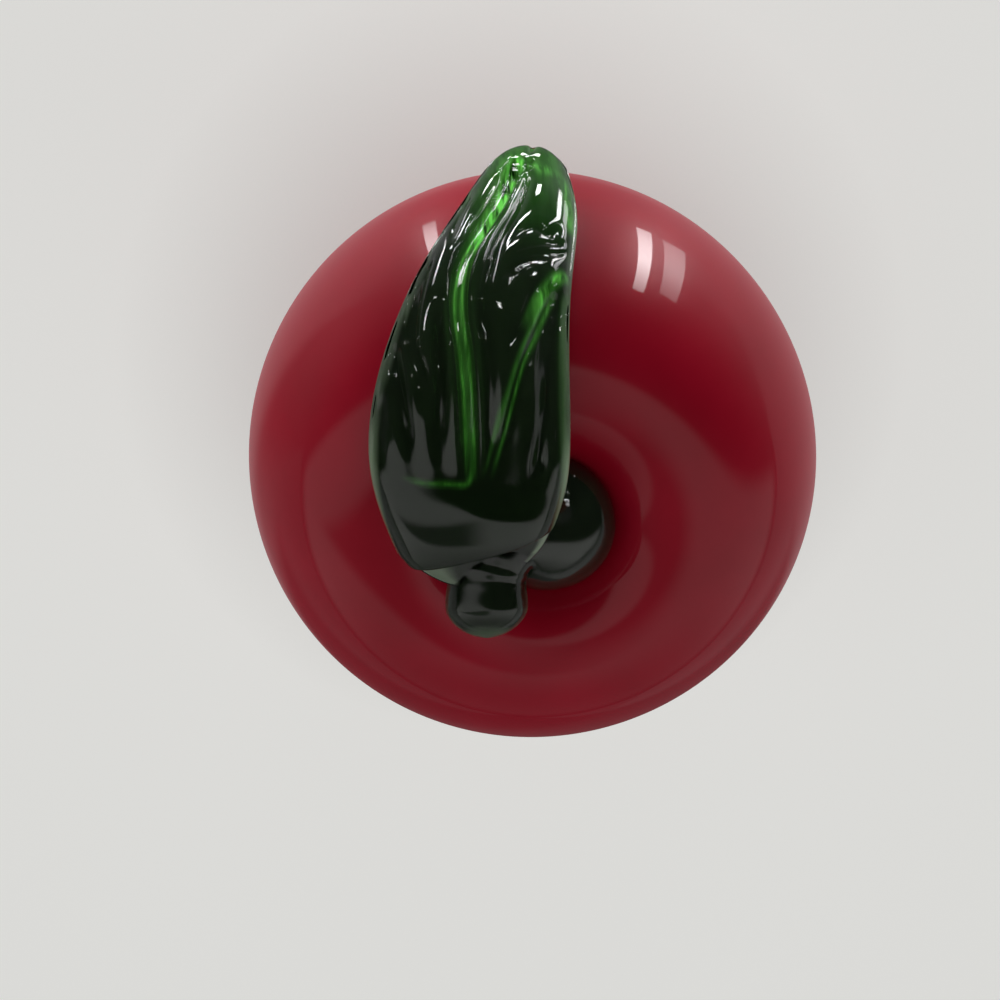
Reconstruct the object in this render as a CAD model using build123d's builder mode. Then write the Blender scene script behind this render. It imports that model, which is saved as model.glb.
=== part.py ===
from build123d import *
import math
import os

os.makedirs("parts", exist_ok=True)

# Body of the apple, in millimetres
body_diameter = 100.0
equator_height = 46.0
base_diameter = 38.0
base_flare_angle = 20.0
base_flare_length = 17.0
belly_length = 26.0
lip_diameter = 44.0
lip_height = 86.5
lip_roll = 13.0
dimple_depth = 13.0
dimple_flat_radius = 10.0

# Glass layers
casing_wall = 2.5
casing_floor = 6.0
bubble_wall = 3.5
bubble_floor = 4.0
neck_diameter = 13.0

# Stem: the plug in the neck, the root in the dimple, the stalk and its knob
plug_drop = 3.0
plug_rounding = 4.0
root_diameter = 20.5
root_rise = 8.0
root_shoulder_diameter = 16.0
root_shoulder_rise = 13.0
root_shoulder_lean = 1.6
stalk_diameter = 10.0
stalk_rise = 19.0
stalk_side_offset = 6.4
stalk_back_offset = 1.0
knob_diameter = 11.0
knob_rise = 22.5
knob_side_offset = 8.2
knob_back_offset = 6.0
knob_length = 4.0
knob_end_diameter = 5.0

# Leaf: widths and thicknesses along it, and its pressed ribs
leaf_base_width = 19.0
leaf_width = 25.6
leaf_upper_width = 20.0
leaf_near_tip_width = 13.0
leaf_end_width = 6.0
leaf_base_thickness = 9.0
leaf_thickness = 7.5
leaf_upper_thickness = 6.5
leaf_near_tip_thickness = 5.0
leaf_end_thickness = 2.5
leaf_camber = 2.0
ribs_each_side = 3
rib_depth = 1.0
rib_depth_near_base = 0.5
rib_depth_near_tip = 0.7
midrib_factor = 1.7

# Leaf: where those sizes lie, as shares of its length
leaf_base_place = 0.05
leaf_full_from = 0.2
leaf_full_to = 0.36
leaf_upper_place = 0.6
leaf_near_tip_place = 0.89

# Leaf: its way from the stalk over the shoulder, with gaps from the body to the middle of its thickness
leaf_base_side = 3.3
leaf_base_setback = 5.0
leaf_base_rise = 1.5
leaf_crest_side = 11.2
leaf_crest_reach = 13.0
leaf_crest_rise = 11.5
leaf_shoulder_side = 8.4
leaf_shoulder_gap = 7.7
leaf_shoulder_angle = 68.0
leaf_flank_side = 4.4
leaf_flank_gap = 5.4
leaf_flank_angle = 45.0
leaf_tip_side = 1.5
leaf_tip_gap = 5.8
leaf_tip_angle = 25.0

# Cubic curves with this handle share stay within a hair of an ellipse
ELLIPSE_HANDLE = 0.5523
# Places across the leaf's plain underside that its sections pass through
UNDERSIDE_PLACES = (-0.7, 0, 0.7)

body_radius = body_diameter / 2
base_radius = base_diameter / 2
lip_radius = lip_diameter / 2
neck_radius = neck_diameter / 2
dimple_floor = lip_height - dimple_depth
hollow_wall = casing_wall + bubble_wall
hollow_floor = casing_floor + bubble_floor


# Half outlines of the body, drawn in radius and height
def shoulder_and_dimple(inset):
    """Draw the outline from the widest point over the lip to the middle of the dimple, one inset inside."""
    radius = body_radius - inset
    top = lip_height - inset
    bottom = dimple_floor - inset
    shoulder_rise = (top - equator_height) * ELLIPSE_HANDLE
    shoulder_run = (radius - lip_radius) * ELLIPSE_HANDLE
    Bezier(
        (radius, equator_height),
        (radius, equator_height + shoulder_rise),
        (lip_radius + shoulder_run, top),
        (lip_radius, top),
    )
    Bezier((lip_radius, top), (lip_radius - lip_roll, top), (dimple_flat_radius, bottom), (0, bottom))


def outer_outline():
    """Draw the body's outer outline, from its flat foot to the dimple."""
    flare = math.radians(base_flare_angle)
    Line((0, 0), (base_radius, 0))
    Bezier(
        (base_radius, 0),
        (base_radius + base_flare_length * math.cos(flare), base_flare_length * math.sin(flare)),
        (body_radius, equator_height - belly_length),
        (body_radius, equator_height),
    )
    shoulder_and_dimple(0)
    Line((0, dimple_floor), (0, 0))


def inner_outline(inset, floor):
    """Draw the outline of an inner glass surface, with a rounded floor."""
    radius = body_radius - inset
    Bezier(
        (0, floor),
        (base_radius + base_flare_length - inset, floor),
        (radius, equator_height - belly_length),
        (radius, equator_height),
    )
    shoulder_and_dimple(inset)
    Line((0, dimple_floor - inset), (0, floor))


# Clear casing: the outer coat with the flat foot, open only at the neck
with BuildPart() as clear_casing:
    with BuildSketch(Plane.XZ):
        with BuildLine():
            outer_outline()
        make_face()
    revolve(axis=Axis.Z)
    with BuildSketch(Plane.XZ):
        with BuildLine():
            inner_outline(casing_wall, casing_floor)
        make_face()
    revolve(axis=Axis.Z, mode=Mode.SUBTRACT)
    with BuildSketch(Plane.XY.offset(equator_height)):
        Circle(neck_radius)
    extrude(amount=lip_height - equator_height, mode=Mode.SUBTRACT)
clear_casing.part.label = "clear_casing"

# Ruby bubble: fused to the inside of the casing, hollow, with the same neck hole
with BuildPart() as red_bubble:
    with BuildSketch(Plane.XZ):
        with BuildLine():
            inner_outline(casing_wall, casing_floor)
        make_face()
    revolve(axis=Axis.Z)
    with BuildSketch(Plane.XZ):
        with BuildLine():
            inner_outline(hollow_wall, hollow_floor)
        make_face()
    revolve(axis=Axis.Z, mode=Mode.SUBTRACT)
    with BuildSketch(Plane.XY.offset(equator_height)):
        Circle(neck_radius)
    extrude(amount=lip_height - equator_height, mode=Mode.SUBTRACT)
red_bubble.part.label = "red_bubble"

# Stem: centres and diameters from inside the neck to the end of the knob
knob_centre = Vector(knob_side_offset, knob_back_offset, dimple_floor + knob_rise)
stem_stations = [
    (Vector(0, 0, dimple_floor - casing_wall), neck_diameter),
    (Vector(0, 0, dimple_floor + root_rise), root_diameter),
    (Vector(root_shoulder_lean, 0, dimple_floor + root_shoulder_rise), root_shoulder_diameter),
    (Vector(stalk_side_offset, stalk_back_offset, dimple_floor + stalk_rise), stalk_diameter),
    (knob_centre, knob_diameter),
    (knob_centre + Vector(0, knob_length, 0), knob_end_diameter),
]
with BuildLine():
    stem_line = Spline([centre for centre, diameter in stem_stations], tangents=[(0, 0, 1), (0, 1, 0)])
with BuildPart() as stem:
    for centre, diameter in stem_stations:
        with BuildSketch(Plane(origin=centre, x_dir=(1, 0, 0), z_dir=stem_line.tangent_at(centre))):
            Circle(diameter / 2)
    loft()
    with BuildSketch(Plane.XZ):
        with BuildLine():
            outer_outline()
        make_face()
    revolve(axis=Axis.Z, mode=Mode.SUBTRACT)
    with BuildSketch(Plane.XY.offset(dimple_floor - hollow_wall - plug_drop)):
        Circle(neck_radius)
    extrude(amount=hollow_wall + plug_drop + root_rise)
    fillet(stem.edges().group_by(Axis.Z)[0], plug_rounding)
stem.part.label = "stem"


# Leaf: its middle line, clear of the shoulder, and its pressed sections, fused to the stalk in a saddle
def over_shoulder(angle, gap, side):
    """A point one gap off the shoulder, at an angle up its ellipse from the equator, towards the front."""
    run = body_radius - lip_radius
    rise = lip_height - equator_height
    turn = math.radians(angle)
    outward = Vector(math.cos(turn) / run, math.sin(turn) / rise).normalized()
    reach = lip_radius + run * math.cos(turn) + gap * outward.X
    height = equator_height + rise * math.sin(turn) + gap * outward.Y
    return Vector(side, -math.sqrt(reach**2 - side**2), height)


def half_thickness(across, thickness):
    """How far the glass reaches from the leaf's middle, full in the middle and round at the edges."""
    return thickness / 2 * math.sqrt(1 - across**4)


def leaf_outline(width, thickness, groove):
    """Draw one closed section: a cambered top pressed into ribs, with a deeper midrib, and a plain underside."""
    sag = leaf_camber * width / leaf_width
    ribs = 2 * ribs_each_side
    points = []
    for step in range(2 * ribs + 1):
        across = 1 - step / ribs
        pressed = step % 2 == 0 and abs(across) < 1
        press = groove * (midrib_factor if across == 0 else 1) if pressed else 0
        height = half_thickness(across, thickness) - press - sag * across**2
        points.append((across * width / 2, height))
    for across in UNDERSIDE_PLACES:
        points.append((across * width / 2, -half_thickness(across, thickness) - sag * across**2))
    Spline(points, periodic=True)


leaf_base = knob_centre + Vector(leaf_base_side, -leaf_base_setback, leaf_base_rise)
leaf_crest = Vector(leaf_crest_side, -leaf_crest_reach, lip_height + leaf_crest_rise)
with BuildLine():
    leaf_line = Spline(
        leaf_base,
        leaf_crest,
        over_shoulder(leaf_shoulder_angle, leaf_shoulder_gap, leaf_shoulder_side),
        over_shoulder(leaf_flank_angle, leaf_flank_gap, leaf_flank_side),
        over_shoulder(leaf_tip_angle, leaf_tip_gap, leaf_tip_side),
    )
leaf_stations = [
    (0, leaf_end_width, leaf_end_thickness, 0),
    (leaf_base_place, leaf_base_width, leaf_base_thickness, 0),
    (leaf_full_from, leaf_width, leaf_thickness, rib_depth_near_base),
    (leaf_full_to, leaf_width, leaf_thickness, rib_depth),
    (leaf_upper_place, leaf_upper_width, leaf_upper_thickness, rib_depth),
    (leaf_near_tip_place, leaf_near_tip_width, leaf_near_tip_thickness, rib_depth_near_tip),
    (1, leaf_end_width, leaf_end_thickness, 0),
]
with BuildPart() as leaf:
    for place, width, thickness, groove in leaf_stations:
        with BuildSketch(Plane(origin=leaf_line @ place, x_dir=(1, 0, 0), z_dir=leaf_line % place)):
            with BuildLine():
                leaf_outline(width, thickness, groove)
            make_face()
    loft()
    add(stem.part, mode=Mode.SUBTRACT)
leaf.part.label = "leaf"

for piece in (clear_casing, red_bubble, stem, leaf):
    export_step(piece.part, f"parts/{piece.part.label}.step")
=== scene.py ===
import math

import bmesh
import bpy
import numpy as np
from mathutils import Matrix, Vector


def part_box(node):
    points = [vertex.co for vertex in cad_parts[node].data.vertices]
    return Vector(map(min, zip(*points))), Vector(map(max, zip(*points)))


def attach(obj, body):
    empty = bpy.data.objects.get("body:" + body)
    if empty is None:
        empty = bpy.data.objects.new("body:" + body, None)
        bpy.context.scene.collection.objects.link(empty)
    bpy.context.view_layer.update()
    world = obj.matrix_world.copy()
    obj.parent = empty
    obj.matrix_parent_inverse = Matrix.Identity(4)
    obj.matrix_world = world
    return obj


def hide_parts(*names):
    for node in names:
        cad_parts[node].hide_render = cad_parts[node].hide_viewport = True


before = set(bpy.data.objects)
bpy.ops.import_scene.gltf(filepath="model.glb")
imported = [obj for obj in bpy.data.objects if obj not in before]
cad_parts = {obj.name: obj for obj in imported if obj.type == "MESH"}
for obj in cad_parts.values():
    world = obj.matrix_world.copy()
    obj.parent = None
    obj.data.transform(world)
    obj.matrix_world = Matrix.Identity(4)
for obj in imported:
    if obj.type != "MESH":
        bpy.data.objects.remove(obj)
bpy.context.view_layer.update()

# All sizes are in millimetres, and become metres when a mesh, lamp, camera or material is made
MM = 0.001

# Body: the outline that the part's source draws, in radius and height
casing_low, casing_high = (np.array(corner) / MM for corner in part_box("clear_casing"))
body_radius = (casing_high[0] - casing_low[0]) / 2
lip_height = casing_high[2]
equator_height = 46
foot_radius = 19
foot_bevel = 0.5
foot_flare = (16, 5.8)
belly_length = 26
lip_radius = 22
lip_roll = 13
dimple_depth = 13
dimple_floor = lip_height - dimple_depth
dimple_flat_radius = 10
ELLIPSE_HANDLE = 0.5523

# Wander of the blown body from round, as shares of its radius, full from this height up
oval_share = 0.0025
oval_turn = 0.6
lobe_share = 0.0015
lobe_twist_height = 25
wander_height = 30

# Stem: centres and radii from inside the neck up to the end of the knob, and its rounded ends
stem_centres = [
    (0, 0, 65),
    (0, 0, 72),
    (0, 0, 77),
    (0, -0.5, 81.5),
    (1.6, -0.4, 86.5),
    (6.6, -1.5, 92.4),
    (8.7, 2.5, 94),
    (9, 6.2, 95),
    (9, 10.8, 97.2),
]
stem_radii = [6.2, 6.4, 6.6, 10.6, 8.4, 5.6, 5.4, 5.8, 5.2]
plug_round = 3
plug_flat = 0.3
knob_round = 4.4

# Wrinkles at the knob's neck: how high, close and skewed they are, and where they lie before its end
wrinkle_height = 0.09
wrinkle_pace = 3.2
wrinkle_skew = 1.8
wrinkle_turn = 0.8
wrinkle_place = 10.2
wrinkle_reach = 1.3

# Leaf: its middle line from the stalk over the shoulder, and its half widths and thickness along that line
leaf_knots = [(11.5, 1, 97.5), (11.2, -13, 98), (8.4, -35.4, 90.2), (4.4, -46, 77.7), (1.5, -52.9, 64.9)]
leaf_places = [0, 0.1, 0.2, 0.3, 0.5, 0.7, 0.8, 0.9, 1]
left_half_widths = [8.4, 11.2, 13.1, 13.4, 11.2, 8.7, 7.6, 6.4, 4.9]
right_half_widths = [8.6, 11.6, 13.1, 13.0, 11.3, 9.6, 8.7, 7.0, 5.0]
leaf_thicknesses = [9, 9.5, 8.4, 7.6, 6.9, 6.3, 5.9, 5.2, 4.2]
leaf_start = -0.03
leaf_end = 1.035

# Camber: how far the leaf's edges hang where it is this wide to each side
leaf_camber = 2
camber_half_width = 13

# Rounded ends of the leaf: lengths as shares along it, how square they are, and the share of width left
tip_length = 0.1
tip_power = 2.4
base_length = 0.09
base_power = 2
end_width = 0.02

# Grooves pressed into the leaf, flat, sharp or soft: depth, half width, and points as shares across and along
flat_grooves = {
    "midrib": (2.0, 1.2, [
        (0.02, 0.19), (-0.06, 0.34), (-0.15, 0.42), (-0.34, 0.52),
        (-0.42, 0.61), (-0.31, 0.72), (-0.22, 0.94),
    ]),
    "pocket": (1.3, 0.9, [
        (-0.47, 0.3), (-0.52, 0.36), (-0.63, 0.4), (-0.78, 0.47), (-0.89, 0.56), (-0.96, 0.62),
    ]),
}
sharp_grooves = {
    "beside_midrib": (0.8, 0.73, [
        (-0.37, 0.34), (-0.43, 0.44), (-0.53, 0.55), (-0.57, 0.67), (-0.5, 0.78), (-0.45, 0.88),
    ]),
    "left_flank": (0.6, 0.73, [(-0.59, 0.27), (-0.65, 0.32), (-0.81, 0.39), (-0.95, 0.44)]),
    "left_rim": (0.5, 0.61, [(-0.72, 0.26), (-0.87, 0.32), (-0.92, 0.37)]),
    "left_nick": (0.7, 0.61, [(-0.65, 0.62), (-0.75, 0.67), (-0.85, 0.75), (-0.9, 0.83)]),
    "panel_edge": (1.1, 0.73, [
        (0.01, 0.44), (-0.06, 0.51), (-0.07, 0.58), (-0.06, 0.64), (0.04, 0.72), (0.11, 0.88),
    ]),
    "hairpin_top": (0.8, 0.61, [
        (0.03, 0.61), (0.1, 0.64), (0.24, 0.685), (0.5, 0.703), (0.63, 0.701), (0.78, 0.745),
    ]),
    "hairpin_bottom": (0.6, 0.55, [
        (0.04, 0.6), (0.13, 0.617), (0.3, 0.645), (0.48, 0.665), (0.74, 0.686), (0.91, 0.705),
    ]),
    "under_hairpin": (0.6, 0.55, [
        (0.07, 0.557), (0.17, 0.592), (0.32, 0.625), (0.49, 0.645), (0.75, 0.661), (0.93, 0.687),
    ]),
    "fan_top": (0.7, 0.61, [
        (0.05, 0.51), (0.07, 0.54), (0.18, 0.58), (0.29, 0.604), (0.44, 0.624), (0.68, 0.644),
    ]),
    "fan_inner": (0.5, 0.49, [(0.24, 0.486), (0.24, 0.54), (0.25, 0.57), (0.31, 0.592)]),
    "fan_slant": (0.6, 0.55, [(0.37, 0.508), (0.41, 0.57), (0.47, 0.595), (0.57, 0.628)]),
    "fan_arch": (1.0, 0.73, [
        (0.27, 0.366), (0.3, 0.442), (0.45, 0.519), (0.49, 0.548), (0.61, 0.581), (0.8, 0.605),
    ]),
    "fan_bright": (1.4, 0.86, [
        (0.2, 0.2), (0.36, 0.323), (0.45, 0.4), (0.62, 0.495), (0.7, 0.537), (0.8, 0.587),
    ]),
    "fan_right": (0.6, 0.61, [(0.62, 0.342), (0.65, 0.453), (0.68, 0.498), (0.77, 0.553)]),
    "fan_edge": (0.6, 0.61, [(0.75, 0.284), (0.75, 0.358), (0.8, 0.505), (0.83, 0.564)]),
    "right_rim": (0.7, 0.73, [(0.86, 0.226), (0.85, 0.3), (0.85, 0.4), (0.88, 0.581)]),
    "tip_split": (1.0, 0.98, [(0.02, 0.85), (0.07, 0.9), (0.05, 0.98)]),
}
soft_grooves = {
    "left_edge": (0.8, 0.9, [(-0.85, 0.21), (-0.9, 0.3), (-0.95, 0.38)]),
    "left_lobe": (1.2, 1.1, [(-0.54, 0.2), (-0.61, 0.27), (-0.73, 0.335), (-0.86, 0.42), (-0.95, 0.5)]),
    "beside_pocket": (1.2, 1.1, [(-0.28, 0.2), (-0.3, 0.26), (-0.33, 0.34), (-0.42, 0.42), (-0.58, 0.52)]),
    "right_of_midrib": (1.2, 1.1, [(0.17, 0.2), (0.16, 0.28), (0.14, 0.35), (0.08, 0.43), (-0.04, 0.53)]),
    "right_lobe": (1.2, 1.1, [(0.62, 0.17), (0.66, 0.23), (0.71, 0.32), (0.72, 0.43), (0.73, 0.53)]),
}

# Rounding of a sharp groove, lengths over which grooves fade at foot and head, and the most they press
groove_round = 0.3
groove_foot_fade = 6
groove_head_fade = 2.5
soft_head_fade = 6
most_press = 1.5
press_edge = (1, 0.94)

# Places where the leaf swells: height, reach across and along, and the middle as shares across and along
swells = {
    "panel": (0.35, 3, 5, 0.4, 0.81),
    "lump": (0.8, 9, 4.5, 0, 0.12),
}

# Foot of the leaf's pressed part, as shares across and along, and how deep it lies below the lump
press_foot = [
    (-1, 0.225), (-0.69, 0.199), (-0.39, 0.189), (-0.1, 0.192), (0.1, 0.18), (0.5, 0.166), (1, 0.135),
]
press_length = 0.07
press_step = 0.6

# Lip where the leaf's lump ends over the stalk, and the notch between the two lobes of its tip
lip_place = 0.055
lip_slope = 0.04
lip_length = 0.02
lip_floor = 0.1
notch_depth = 0.03
notch_across = 0.05
notch_width = 0.2
notch_start = 0.9

# Core inside the leaf's outer glass: its inset, and its shares of the height above and below
core_rim = 0.3
core_top = 0.5
core_bottom = 0.6

# Core inside the stem: its insets, and the shares along it where they change and where its end draws back
root_rim = 0.4
knob_rim = 0.5
rim_change = (0.6, 0.85)
core_end = (0.875, 1)

# Colours of the core: its own, the painted glow where light would come through thin glass, and painted light
# at its edges
core_dark = np.array([0.02, 0.03, 0.018])
core_painted_glow = np.array([0.19, 0.8, 0.1])
core_painted_light = np.array([0.3, 0.36, 0.28])

# Painted glow in the leaf's core, for light through thin glass: brightness, half width, points as shares
# across and along
midrib = flat_grooves["midrib"][2]
right_line = sharp_grooves["fan_bright"][2]
painted_glow_lines = {
    "midrib": (0.25, 1.0, midrib),
    "midrib_left": (0.6, 0.22, [(across - 0.05, along) for across, along in midrib]),
    "midrib_right": (0.5, 0.22, [(across + 0.05, along) for across, along in midrib]),
    "right_line": (0.5, 0.35, right_line),
    "right_line_beside": (0.3, 0.25, [(across - 0.09, along) for across, along in right_line]),
    "fan": (0.8, 0.7, [(0.45, 0.47), (0.62, 0.56), (0.76, 0.605), (0.95, 0.63)]),
    "tip_left": (0.6, 1.2, [(-0.37, 0.6), (-0.36, 0.7), (-0.3, 0.78), (-0.28, 0.86), (-0.2, 0.96)]),
    "tip_top": (0.4, 1.2, [(-0.6, 0.86), (-0.3, 0.92), (0.1, 0.92), (0.35, 0.9), (0.6, 0.87)]),
    "tip_right": (0.4, 0.8, [(0.7, 0.92), (0.75, 0.88), (0.82, 0.8), (0.88, 0.72)]),
    "foot_line": (0.4, 0.3, [(-0.69, 0.205), (-0.39, 0.195), (-0.1, 0.195), (0.02, 0.22), (0.02, 0.3)]),
    "right_edge": (0.1, 0.6, [(0.92, 0.16), (0.92, 0.3), (0.92, 0.45), (0.92, 0.6)]),
}

# Painted glow that the core gains towards the leaf's tip, and where that starts
tip_light = 0.25
tip_light_start = 0.62

# Painted light at the rim and ear of the leaf's core: how pale, and the shares across and along where it
# starts and is full
upper_rim_painted_light = 0.5
base_rim_painted_light = 1.6
rim_places = (0.34, 0.18)
rim_across = (0.88, 0.98)
ear_painted_light = 0.9
ear_across = (-0.2, -0.6)

# Painted light on the knob: how pale, by how far its surface faces up, by the distance from its end, and
# along the stem
knob_painted_light = 0.5
knob_facing = (0.45, 0.05)
knob_end = (1.6, 0.4)
knob_places = (0.75, 0.875)


def spline(places, values):
    """A natural cubic spline through values at places, as a function of the place."""
    x = np.asarray(places, float)
    y = np.asarray(values, float).reshape(len(x), -1)
    gap = np.diff(x)
    slope = np.diff(y, axis=0) / gap[:, None]
    system = np.eye(len(x))
    right = np.zeros_like(y)
    for i in range(1, len(x) - 1):
        system[i, i - 1 : i + 2] = gap[i - 1], 2 * (gap[i - 1] + gap[i]), gap[i]
        right[i] = 6 * (slope[i] - slope[i - 1])
    bend = np.linalg.solve(system, right)

    def at(place):
        place = np.asarray(place, float)
        i = np.clip(np.searchsorted(x, place) - 1, 0, len(x) - 2)
        before = (place - x[i])[..., None]
        after = (x[i + 1] - place)[..., None]
        step = gap[i][..., None]
        curve = (bend[i] * after**3 + bend[i + 1] * before**3) / (6 * step)
        from_start = (y[i] / step - bend[i] * step / 6) * after
        from_end = (y[i + 1] / step - bend[i + 1] * step / 6) * before
        result = curve + (from_start + from_end)
        return np.squeeze(result, axis=-1) if y.shape[1] == 1 else result

    return at


def chord_places(knots):
    """Each knot's share of the way along the straight runs between the knots."""
    runs = np.linalg.norm(np.diff(np.asarray(knots, float), axis=0), axis=1)
    return np.concatenate([[0], np.cumsum(runs)]) / runs.sum()


def bezier(start, handle, far_handle, end, count):
    """Points of a cubic curve, without its last one."""
    t = np.linspace(0, 1, count, endpoint=False)[:, None]
    corners = [np.asarray(corner, float) for corner in (start, handle, far_handle, end)]
    shares = [(1 - t) ** 3, 3 * t * (1 - t) ** 2, 3 * t**2 * (1 - t), t**3]
    return sum(share * corner for share, corner in zip(shares, corners))


def rise(value, low, high):
    """0 at low and before it, 1 at high and beyond, and smooth between; low may be the greater one."""
    share = np.clip((value - low) / (high - low), 0, 1)
    return share**2 * (3 - 2 * share)


def round_end(reach, power=2, least=0):
    """How wide a rounded end still is, at a share of the way from where it starts to its very end."""
    return np.sqrt(np.clip(1 - np.clip(reach, 0, 1) ** power, least**2, 1))


def closed_tube(name, rings, material, nodes=(), tints=None):
    """A smooth closed mesh through rings of points, which may replace CAD nodes and keep tints."""
    count, around = rings.shape[:2]
    points = np.concatenate([rings.reshape(-1, 3), [rings[0].mean(axis=0)], [rings[-1].mean(axis=0)]]) * MM
    first_end = count * around
    last = (count - 1) * around
    faces = []
    for step in range(around):
        beside = (step + 1) % around
        faces.append((first_end, beside, step))
        faces.append((first_end + 1, last + step, last + beside))
        for ring in range(count - 1):
            here = ring * around
            faces.append((here + step, here + beside, here + around + beside, here + around + step))
    mesh = bpy.data.meshes.new(name)
    mesh.from_pydata(points.tolist(), [], faces)
    edit = bmesh.new()
    edit.from_mesh(mesh)
    bmesh.ops.recalc_face_normals(edit, faces=edit.faces)
    edit.to_mesh(mesh)
    edit.free()
    mesh.shade_smooth()
    mesh.materials.append(material)
    if tints is not None:
        tints = np.concatenate([tints.reshape(-1, 4), [tints[0].mean(axis=0)], [tints[-1].mean(axis=0)]])
        layer = mesh.attributes.new("tint", "FLOAT_COLOR", "POINT")
        layer.data.foreach_set("color", tints.ravel())
    piece = bpy.data.objects.new(name, mesh)
    bpy.context.scene.collection.objects.link(piece)
    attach(piece, "root")
    if nodes:
        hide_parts(*nodes)


def new_material(name):
    """A node material, with its tree, its Principled shader and its output."""
    material = bpy.data.materials.new(name)
    material.use_nodes = True
    nodes = material.node_tree.nodes
    return material, material.node_tree, nodes["Principled BSDF"], nodes["Material Output"]


def maths(tree, operation, *values):
    """The result of a maths node on numbers or on other nodes' outputs."""
    node = tree.nodes.new("ShaderNodeMath")
    node.operation = operation
    for socket, value in zip(node.inputs, values):
        if isinstance(value, bpy.types.NodeSocket):
            tree.links.new(value, socket)
        else:
            socket.default_value = value
    return node.outputs["Value"]


def ramp(tree, value, low, high, start=0, end=1):
    """A smooth change from start to end while a node's output goes from low to high."""
    node = tree.nodes.new("ShaderNodeMapRange")
    node.interpolation_type = "SMOOTHSTEP"
    tree.links.new(value, node.inputs["Value"])
    for name, number in (("From Min", low), ("From Max", high), ("To Min", start), ("To Max", end)):
        node.inputs[name].default_value = number
    return node.outputs["Result"]


def vector_axes(tree, vector):
    """The X, Y and Z outputs of a vector."""
    axes = tree.nodes.new("ShaderNodeSeparateXYZ")
    tree.links.new(vector, axes.inputs["Vector"])
    return axes.outputs["X"], axes.outputs["Y"], axes.outputs["Z"]


def stretched_noise(tree, stretch, scale, detail):
    """Noise in the object's own space, stretched along the axes, as a node's output."""
    place = tree.nodes.new("ShaderNodeTexCoord")
    mapping = tree.nodes.new("ShaderNodeMapping")
    mapping.inputs["Scale"].default_value = stretch
    noise = tree.nodes.new("ShaderNodeTexNoise")
    noise.inputs["Scale"].default_value = scale
    noise.inputs["Detail"].default_value = detail
    tree.links.new(place.outputs["Object"], mapping.inputs["Vector"])
    tree.links.new(mapping.outputs["Vector"], noise.inputs["Vector"])
    return noise.outputs["Fac"]


def red_glass_material():
    """Ruby glass under a clear glossy coat, with faint streaks in the colour."""
    material, tree, shader, _ = new_material("red_glass")
    tint = tree.nodes.new("ShaderNodeValToRGB")
    tint.color_ramp.elements[0].position = 0.3
    tint.color_ramp.elements[0].color = (0.26, 0.0018, 0.012, 1)
    tint.color_ramp.elements[1].position = 0.7
    tint.color_ramp.elements[1].color = (0.32, 0.003, 0.017, 1)
    tree.links.new(stretched_noise(tree, (1, 1, 0.25), 60, 4), tint.inputs["Fac"])
    tree.links.new(tint.outputs["Color"], shader.inputs["Base Color"])
    shader.inputs["Roughness"].default_value = 0.35
    shader.inputs["Specular IOR Level"].default_value = 0.1
    shader.inputs["Sheen Weight"].default_value = 0.35
    shader.inputs["Sheen Roughness"].default_value = 0.5
    shader.inputs["Sheen Tint"].default_value = (0.8, 0.02, 0.06, 1)
    shader.inputs["Coat Weight"].default_value = 0.4
    shader.inputs["Coat Roughness"].default_value = 0.015
    shader.inputs["Coat IOR"].default_value = 1.5
    return material


def green_glass_material():
    """Clear glass with a green tint through its depth and faint tool marks."""
    material, tree, shader, output = new_material("green_glass")
    shader.inputs["Base Color"].default_value = (1, 1, 1, 1)
    shader.inputs["Roughness"].default_value = 0.01
    shader.inputs["IOR"].default_value = 1.5
    shader.inputs["Transmission Weight"].default_value = 1
    marks = tree.nodes.new("ShaderNodeTexNoise")
    marks.inputs["Scale"].default_value = 200
    marks.inputs["Detail"].default_value = 2
    relief = tree.nodes.new("ShaderNodeBump")
    relief.inputs["Strength"].default_value = 0.05
    relief.inputs["Distance"].default_value = 0.1 * MM
    tree.links.new(marks.outputs["Fac"], relief.inputs["Height"])
    tree.links.new(relief.outputs["Normal"], shader.inputs["Normal"])
    depth_tint = tree.nodes.new("ShaderNodeVolumeAbsorption")
    depth_tint.inputs["Color"].default_value = (0.6, 0.78, 0.5, 1)
    depth_tint.inputs["Density"].default_value = 450
    tree.links.new(depth_tint.outputs["Volume"], output.inputs["Volume"])
    return material


def green_core_material():
    """Dark green glass in the colours that its points keep, with their painted glow and light, streaky where
    they say so.
    """
    material, tree, shader, _ = new_material("green_core")
    tint = tree.nodes.new("ShaderNodeAttribute")
    tint.attribute_name = "tint"
    streaks = stretched_noise(tree, (1, 0.12, 0.12), 1500, 3)
    change = ramp(tree, streaks, 0.35, 0.65, -0.95, 0.9)
    uneven = tree.nodes.new("ShaderNodeVectorMath")
    uneven.operation = "SCALE"
    tree.links.new(tint.outputs["Color"], uneven.inputs["Vector"])
    tree.links.new(maths(tree, "MULTIPLY_ADD", tint.outputs["Alpha"], change, 1), uneven.inputs["Scale"])
    tree.links.new(uneven.outputs["Vector"], shader.inputs["Base Color"])
    shader.inputs["Roughness"].default_value = 0.6
    shader.inputs["Specular IOR Level"].default_value = 0
    return material


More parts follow.
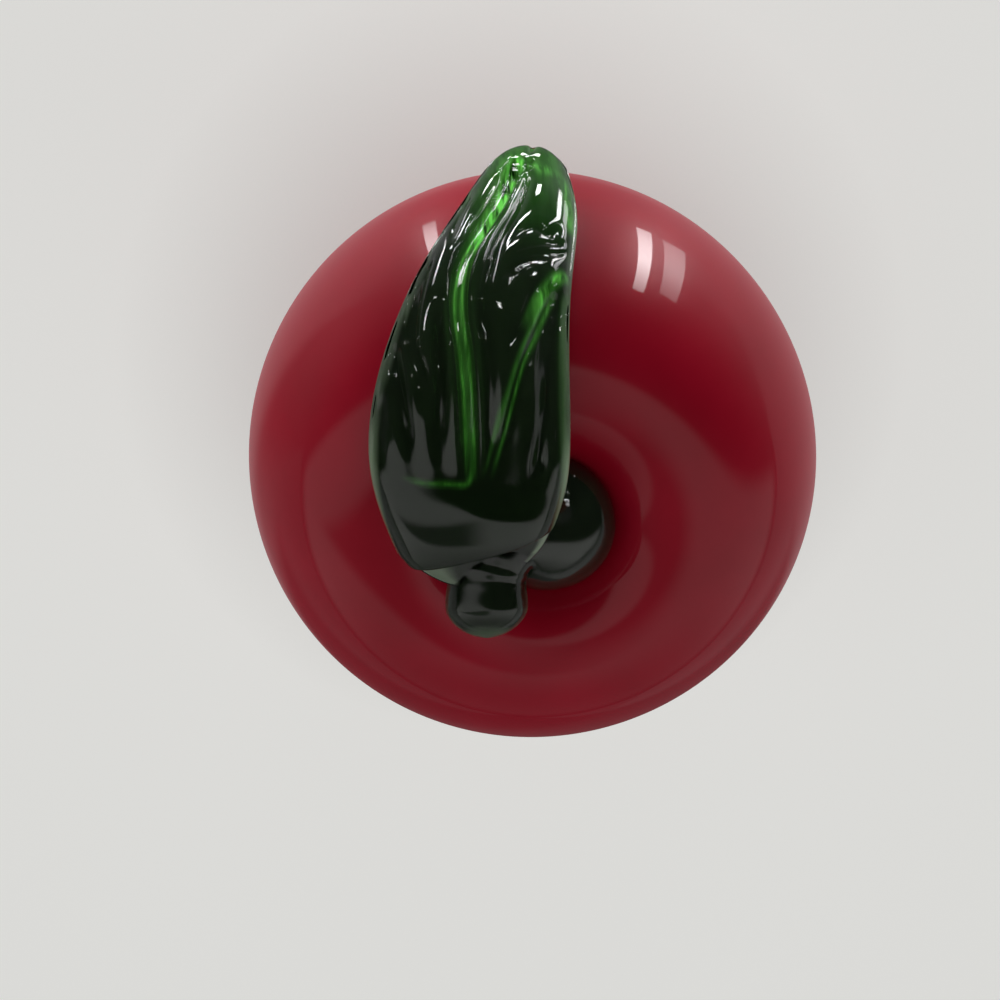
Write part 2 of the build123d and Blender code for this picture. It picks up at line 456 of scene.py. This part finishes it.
def body_rings(around=192):
    """The apple's outer skin, turned round its core, with the slight wander of blown glass."""
    foot = [(radius, 0) for radius in np.linspace(0.5, foot_radius - foot_bevel, 8)]
    lower = bezier(
        (foot_radius, foot_bevel),
        (foot_radius + foot_flare[0], foot_flare[1]),
        (body_radius, equator_height - belly_length),
        (body_radius, equator_height),
        60,
    )
    shoulder_rise = (lip_height - equator_height) * ELLIPSE_HANDLE
    shoulder_run = (body_radius - lip_radius) * ELLIPSE_HANDLE
    shoulder = bezier(
        (body_radius, equator_height),
        (body_radius, equator_height + shoulder_rise),
        (lip_radius + shoulder_run, lip_height),
        (lip_radius, lip_height),
        80,
    )
    dimple = bezier(
        (lip_radius, lip_height),
        (lip_radius - lip_roll, lip_height),
        (dimple_flat_radius, dimple_floor),
        (0.3, dimple_floor),
        60,
    )
    outline = np.concatenate([foot, lower, shoulder, dimple])
    turn = np.linspace(0, 2 * np.pi, around, endpoint=False)
    radius, height = outline[:, :1], outline[:, 1:]
    oval = oval_share * np.cos(2 * turn + oval_turn)
    lobes = lobe_share * np.cos(3 * turn - height / lobe_twist_height)
    radius = radius * (1 + (oval + lobes) * rise(height, 0, wander_height))
    return np.stack([radius * np.cos(turn), radius * np.sin(turn), height + 0 * turn], axis=-1)


def core_tints(painted_glow, edge):
    """The core's colour at each point, with painted glow in its lines and painted light at its edges, and
    streakiness as alpha.
    """
    colour = core_dark + painted_glow[..., None] * core_painted_glow + edge[..., None] * core_painted_light
    return np.concatenate([colour, painted_glow[..., None]], axis=-1)


def stem_rings(count=220, around=128, core=False):
    """The plug, the root, the stalk and the round knob with its wrinkled neck, or their core; and tints with
    painted light.
    """
    places = chord_places(stem_centres)
    along = np.linspace(0, 1, count)
    middle = spline(places, stem_centres)(along)
    forward = np.gradient(middle, axis=0)
    forward /= np.linalg.norm(forward, axis=1)[:, None]
    side = np.array([1.0, 0, 0]) - forward[:, :1] * forward
    side /= np.linalg.norm(side, axis=1)[:, None]
    back = np.cross(forward, side)
    length = np.linalg.norm(np.diff(middle, axis=0), axis=1).sum()
    to_end = (1 - along) * length
    to_start = along * length
    rim = (root_rim + (knob_rim - root_rim) * rise(along, *rim_change)) * core
    middle = middle - (rim * rise(along, *core_end))[:, None] * forward
    turn = np.linspace(0, 2 * np.pi, around, endpoint=False)
    wave = np.sin(to_end[:, None] * wrinkle_pace + wrinkle_skew * np.cos(turn + wrinkle_turn))
    wrinkles = wrinkle_height * wave * np.exp(-(((to_end - wrinkle_place) / wrinkle_reach) ** 2))[:, None]
    ring_radius = (spline(places, stem_radii)(along) - rim)[:, None] + wrinkles * (not core)
    rounding = round_end(1 - to_end / knob_round) * round_end(1 - (to_start + plug_flat) / plug_round)
    radius = ring_radius * rounding[:, None]
    spokes = np.cos(turn)[None, :, None] * side[:, None] + np.sin(turn)[None, :, None] * back[:, None]
    points = middle[:, None] + radius[..., None] * spokes
    # Painted light on the knob's core, where it faces sideways or down and near its end
    outside = np.maximum(rise(spokes[..., 2], *knob_facing), rise(to_end, *knob_end)[:, None])
    edge = knob_painted_light * outside * rise(along, *knob_places)[:, None]
    return points, core_tints(0 * edge, edge)


def line_distance(across, along, line):
    """Each point's distance to a line of straight runs, and its nearest place's share of that line."""
    distance = np.full_like(across, np.inf)
    share = np.zeros_like(across)
    for run, (start, end) in enumerate(zip(line[:-1], line[1:])):
        step = end - start
        reach = ((across - start[0]) * step[0] + (along - start[1]) * step[1]) / (step @ step)
        reach = np.clip(reach, 0, 1)
        gap = np.hypot(across - start[0] - reach * step[0], along - start[1] - reach * step[1])
        share = np.where(gap < distance, (run + reach) / (len(line) - 1), share)
        distance = np.minimum(gap, distance)
    return distance, share


def sharp_groove(reach):
    """How deep a sharp groove is at a distance, as a share of its depth and half width."""
    return np.exp(groove_round - np.hypot(reach, groove_round))


def flat_groove(reach):
    """How deep a flat groove is at a distance, as a share of its depth and half width."""
    return np.exp(-(reach**4))


def soft_groove(reach):
    """How deep a soft groove is at a distance, as a share of its depth and half width."""
    return np.exp(-(reach**2))


def groove_depth(grooves, profile, across, along, half_width_at, length, head_fade=groove_head_fade):
    """How deep all these grooves together press at each point, or how bright such lines of painted glow are
    there.
    """
    total = np.zeros_like(across)
    for depth, width, points in grooves.values():
        line = spline(chord_places(points), points)(np.linspace(0, 1, 40))
        line = np.stack([line[:, 0] * half_width_at(line[:, 1], line[:, 0]), line[:, 1] * length], axis=-1)
        distance, share = line_distance(across, along, line)
        run = np.linalg.norm(np.diff(line, axis=0), axis=1).sum()
        fade = rise(share * run, 0, groove_foot_fade) * rise((1 - share) * run, 0, head_fade)
        total += depth * fade * profile(distance / width)
    return total


def leaf_rings(count=320, over=200, under=64, core=False, end_angle=0.08):
    """The leaf's closed sections, its top pressed into fingers, or those of its core; and tints with painted
    glow and light.
    """
    line = spline(chord_places(leaf_knots), leaf_knots)
    left = spline(leaf_places, left_half_widths)
    right = spline(leaf_places, right_half_widths)
    thickness_at = spline(leaf_places, leaf_thicknesses)
    length = np.linalg.norm(np.diff(line(np.linspace(0, 1, 400)), axis=0), axis=1).sum()

    # Sections stand closer together towards both ends
    rim = core_rim * core
    first = leaf_start + rim / length
    last = leaf_end - 2 * rim / length
    along = first + (last - first) * (1 - np.cos(np.linspace(end_angle, np.pi - end_angle, count))) / 2
    middle = line(along)
    forward = np.gradient(middle, along, axis=0)
    forward /= np.linalg.norm(forward, axis=1)[:, None]
    side = np.array([-1.0, 0, 0]) + forward[:, :1] * forward
    side /= np.linalg.norm(side, axis=1)[:, None]
    up = np.cross(side, forward)

    def half_width_at(place, across):
        return np.where(across < 0, left(place), right(place))

    # Plain shape: its width and thickness, rounded at both ends
    over_turn = np.linspace(np.pi, 0, over, endpoint=False)
    under_turn = np.linspace(0, -np.pi, under, endpoint=False)
    across = np.cos(np.concatenate([over_turn, under_turn]))[None]
    top = np.concatenate([np.ones(over), np.zeros(under)])[None]
    place = along[:, None] + 0 * across
    into_tip = (place - last + tip_length) / tip_length
    into_base = (first + base_length - place) / base_length
    rounding = round_end(into_tip, tip_power, end_width) * round_end(into_base, base_power, end_width)
    half_width = (half_width_at(place, across) - rim) * rounding
    half_thickness = thickness_at(place) / 2 * rounding
    bulge = half_thickness * np.sqrt(1 - across**4)

    # What is pressed into the top: grooves, the step below the lump, and swells that press less
    spot = (across * half_width, place * length, half_width_at, length)
    press = groove_depth(flat_grooves, flat_groove, *spot) + groove_depth(sharp_grooves, sharp_groove, *spot)
    press = press + groove_depth(soft_grooves, soft_groove, *spot, soft_head_fade)
    foot = spline(*zip(*press_foot))(across)
    press = press + press_step * rise(place - foot, -press_length / 2, press_length / 2)
    for swell_height, across_reach, along_reach, swell_across, swell_along in swells.values():
        beside = (across * half_width - swell_across * half_width_at(place, across)) / across_reach
        beyond = (place - swell_along) * length / along_reach
        press = press - swell_height * np.exp(-(beside**2) - beyond**2)
    press = np.minimum(press, most_press * bulge) * rise(np.abs(across), *press_edge)

    # Heights, with the lump's lip, and points, with the notch in the tip
    lump = rise(place - lip_place - lip_slope * across, -lip_length / 2, lip_length / 2)
    over_height = bulge * (lip_floor + (1 - lip_floor) * lump) - press
    above, below = (core_top, core_bottom) if core else (1, 1)
    camber = leaf_camber * half_width / camber_half_width * across**2
    height = np.where(top == 1, above * over_height, -below * bulge) - camber
    notch = np.exp(-(((across - notch_across) / notch_width) ** 2)) * rise(place, notch_start, 1)
    centre = middle[:, None] - (notch_depth * length * notch)[..., None] * forward[:, None]
    points = centre + (across * half_width)[..., None] * side[:, None] + height[..., None] * up[:, None]

    # Tints: painted glow along the lines and towards the tip, and painted light at the rim and ear
    painted_glow = groove_depth(painted_glow_lines, soft_groove, *spot) + tip_light * rise(place, tip_light_start, 1)
    rim_painted_light = upper_rim_painted_light + (base_rim_painted_light - upper_rim_painted_light) * rise(place, *rim_places)
    ear = ear_painted_light * (1 - lump) * rise(across, *ear_across)
    edge = np.maximum(rim_painted_light * rise(np.abs(across), *rim_across), ear)
    return points, core_tints(np.clip(painted_glow, 0, 1), edge)


def area_lamp(name, place, target, size, energy, spread=180, mirrored=False):
    """A soft rectangular lamp, unseen by the camera, that lights the object or is mirrored in its glass."""
    lamp = bpy.data.lights.new(name, "AREA")
    lamp.shape = "RECTANGLE"
    lamp.size, lamp.size_y = (side * MM for side in size)
    lamp.energy = energy
    lamp.spread = math.radians(spread)
    holder = bpy.data.objects.new(name, lamp)
    holder.location = Vector(place) * MM
    holder.rotation_euler = (Vector(target) - Vector(place)).to_track_quat("-Z", "Y").to_euler()
    holder.visible_camera = False
    holder.visible_glossy = mirrored
    holder.visible_diffuse = not mirrored
    bpy.context.scene.collection.objects.link(holder)


def floor_in_reflections(tree, x, y, sheet_light=0.33):
    """How bright the floor is in reflections, by its place: a sheet with an edge, on a darker ground."""
    sheet = ramp(tree, maths(tree, "MULTIPLY_ADD", y, 0.5, x), 90 * MM, 125 * MM, 1, 0)
    ground = ramp(tree, y, -20 * MM, 40 * MM, 0.04, 0.22)
    light = maths(tree, "MULTIPLY_ADD", sheet, maths(tree, "SUBTRACT", sheet_light, ground), ground)
    # Dimmer far in front of the apple, straight in front of it, and behind it
    beside = maths(tree, "ABSOLUTE", x)
    far = ramp(tree, y, -260 * MM, -110 * MM, 0.25, 1)
    aside = ramp(tree, beside, 10 * MM, 60 * MM, 0.35, 1)
    front = maths(tree, "MAXIMUM", aside, ramp(tree, y, -90 * MM, -50 * MM))
    wide = ramp(tree, beside, 90 * MM, 220 * MM)
    back = maths(tree, "MAXIMUM", ramp(tree, y, 50 * MM, 85 * MM, 1, 0.3), wide)
    return maths(tree, "MULTIPLY", maths(tree, "MULTIPLY", light, far), maths(tree, "MULTIPLY", back, front))


def pale_floor(half_side=4000, shadow_reach=50, shadow_light=0.35):
    """A plain pale floor that shows the object's shadow, and that is dimmer in reflections."""
    mesh = bpy.data.meshes.new("floor")
    corners = [(x * half_side * MM, y * half_side * MM, 0) for x, y in ((-1, -1), (1, -1), (1, 1), (-1, 1))]
    mesh.from_pydata(corners, [], [(0, 1, 2, 3)])
    material, tree, shader, output = new_material("floor")
    shader.inputs["Base Color"].default_value = (0.4, 0.4, 0.39, 1)
    shader.inputs["Roughness"].default_value = 0.9
    geometry = tree.nodes.new("ShaderNodeNewGeometry")
    x, y, _ = vector_axes(tree, geometry.outputs["Position"])
    path = tree.nodes.new("ShaderNodeLightPath")
    plain = maths(tree, "MAXIMUM", path.outputs["Is Camera Ray"], path.outputs["Is Transmission Ray"])
    hidden = maths(tree, "SUBTRACT", 1, plain)
    # The glow dims close to the object, a painted shadow round it on top of the real one
    nearby = tree.nodes.new("ShaderNodeAmbientOcclusion")
    nearby.inputs["Distance"].default_value = shadow_reach * MM
    shadow = maths(tree, "MULTIPLY_ADD", nearby.outputs["AO"], 1 - shadow_light, shadow_light)
    shaded = maths(tree, "MULTIPLY", plain, shadow)
    bounce = ramp(tree, y, -120 * MM, 60 * MM, 4.5, 0.35)
    glow = tree.nodes.new("ShaderNodeEmission")
    glow.inputs["Color"].default_value = (0.54, 0.54, 0.525, 1)
    tree.links.new(maths(tree, "MULTIPLY_ADD", hidden, bounce, shaded), glow.inputs["Strength"])
    lit = tree.nodes.new("ShaderNodeAddShader")
    tree.links.new(shader.outputs["BSDF"], lit.inputs[0])
    tree.links.new(glow.outputs["Emission"], lit.inputs[1])
    mirrored = tree.nodes.new("ShaderNodeEmission")
    tree.links.new(floor_in_reflections(tree, x, y), mirrored.inputs["Strength"])
    surface = tree.nodes.new("ShaderNodeMixShader")
    tree.links.new(path.outputs["Is Glossy Ray"], surface.inputs["Fac"])
    tree.links.new(lit.outputs["Shader"], surface.inputs[1])
    tree.links.new(mirrored.outputs["Emission"], surface.inputs[2])
    tree.links.new(surface.outputs["Shader"], output.inputs["Surface"])
    mesh.materials.append(material)
    floor = bpy.data.objects.new("floor", mesh)
    bpy.context.scene.collection.objects.link(floor)


def studio_world(backdrop_light=0.74, front_light=0.01):
    """Pale walls at the sides and behind, a dark gap high at the back, a dark front; plain to the camera."""
    world = bpy.data.worlds.new("studio")
    world.use_nodes = True
    tree = world.node_tree
    backdrop = tree.nodes["Background"]
    backdrop.inputs["Color"].default_value = (1, 1, 0.975, 1)
    place = tree.nodes.new("ShaderNodeTexCoord")
    path = tree.nodes.new("ShaderNodeLightPath")
    x, y, z = vector_axes(tree, place.outputs["Generated"])
    # Where the walls start, behind a line that leans with the height, and above the front's lower edge
    lean = maths(tree, "MULTIPLY", z, maths(tree, "MULTIPLY_ADD", x, 0.5, 0.35))
    behind = ramp(tree, maths(tree, "ADD", y, lean), 0.04, 0.2)
    front_slope = maths(tree, "MULTIPLY_ADD", maths(tree, "MINIMUM", y, 0), 0.8, z)
    above = ramp(tree, front_slope, -0.03, 0.1)
    # The gap, bounded at two sides and below
    gap_turn = maths(tree, "MULTIPLY_ADD", x, -0.36, y)
    gap_slope = maths(tree, "MULTIPLY_ADD", x, 0.217, maths(tree, "MULTIPLY_ADD", y, -1.29, z))
    gap_side = maths(tree, "MULTIPLY", ramp(tree, x, -0.3, 0.1), ramp(tree, gap_turn, -0.06, 0.1))
    gap = maths(tree, "MULTIPLY", ramp(tree, gap_slope, -0.06, 0.16, 0, 0.85), gap_side)
    # The walls' light, lower straight behind
    walls = maths(tree, "MULTIPLY", behind, maths(tree, "MULTIPLY", above, maths(tree, "SUBTRACT", 1, gap)))
    light = maths(tree, "MULTIPLY_ADD", walls, ramp(tree, y, 0.5, 0.95, 0.72, 0.22), front_light)
    paler = maths(tree, "SUBTRACT", backdrop_light, light)
    shown = maths(tree, "MULTIPLY", paler, path.outputs["Is Camera Ray"])
    tree.links.new(maths(tree, "ADD", light, shown), backdrop.inputs["Strength"])
    bpy.context.scene.world = world


def photo_camera():
    """The photograph's view: from above the apple's top, with the leaf's tip up in the picture."""
    tilt, turn, distance = math.radians(17.5), math.radians(12), 184.8
    aim = Vector((6.6, -3.5, 80))
    beside, before = math.sin(tilt) * math.sin(turn), -math.sin(tilt) * math.cos(turn)
    place = Vector((beside, before, math.cos(tilt))) * distance
    place.z += equator_height
    forward = (aim - place).normalized()
    right = forward.cross(Vector((0, -1, 0))).normalized()
    up = right.cross(forward)
    lens = bpy.data.cameras.new("camera")
    lens.sensor_width = lens.lens = 36
    lens.clip_start = 0.01
    camera = bpy.data.objects.new("camera", lens)
    turned = Matrix((right, up, -forward)).transposed().to_4x4()
    camera.matrix_world = Matrix.Translation(place * MM) @ turned
    bpy.context.scene.collection.objects.link(camera)
    bpy.context.scene.camera = camera


# The object
green_glass = green_glass_material()
green_core = green_core_material()
stem_skin, _ = stem_rings()
stem_core, stem_tints = stem_rings(core=True)
leaf_skin, _ = leaf_rings()
leaf_core, leaf_tints = leaf_rings(240, 160, 40, core=True)
closed_tube("apple_body", body_rings(), red_glass_material(), ["clear_casing", "red_bubble"])
closed_tube("apple_stem", stem_skin, green_glass, ["stem"])
closed_tube("apple_stem_core", stem_core, green_core, tints=stem_tints)
closed_tube("apple_leaf", leaf_skin, green_glass, ["leaf"])
closed_tube("apple_leaf_core", leaf_core, green_core, tints=leaf_tints)

# The studio: two lamps that light the object, and narrow ones that its glass mirrors
pale_floor()
studio_world()
area_lamp("key", (-20, -520, 160), (0, -20, 60), (180, 120), 0.04, 70)
area_lamp("top_fill", (0, 60, 520), (0, 0, 60), (300, 300), 0.25)
area_lamp("strip", (-70, -125, 50), (-15, -40, 75), (9, 95), 0.007, 60, mirrored=True)
area_lamp("left_strip", (52, -116, 48), (15, -41, 72), (7, 92), 0.004, 60, mirrored=True)
area_lamp("wide_strip", (-86, -113, 45), (-18, -38, 75), (14, 80), 0.0025, 60, mirrored=True)
area_lamp("glint", (6, -190, 62), (5, -48, 75), (22, 22), 0.008, 60, mirrored=True)
area_lamp("panel_glint", (-8, -151, 22), (1, -48, 78), (18, 24), 0.004, 60, mirrored=True)
area_lamp("brow", (10, -200, 200), (6, -38, 86), (60, 12), 0.006, 60, mirrored=True)
photo_camera()

scene = bpy.context.scene
scene.view_settings.view_transform = "Standard"
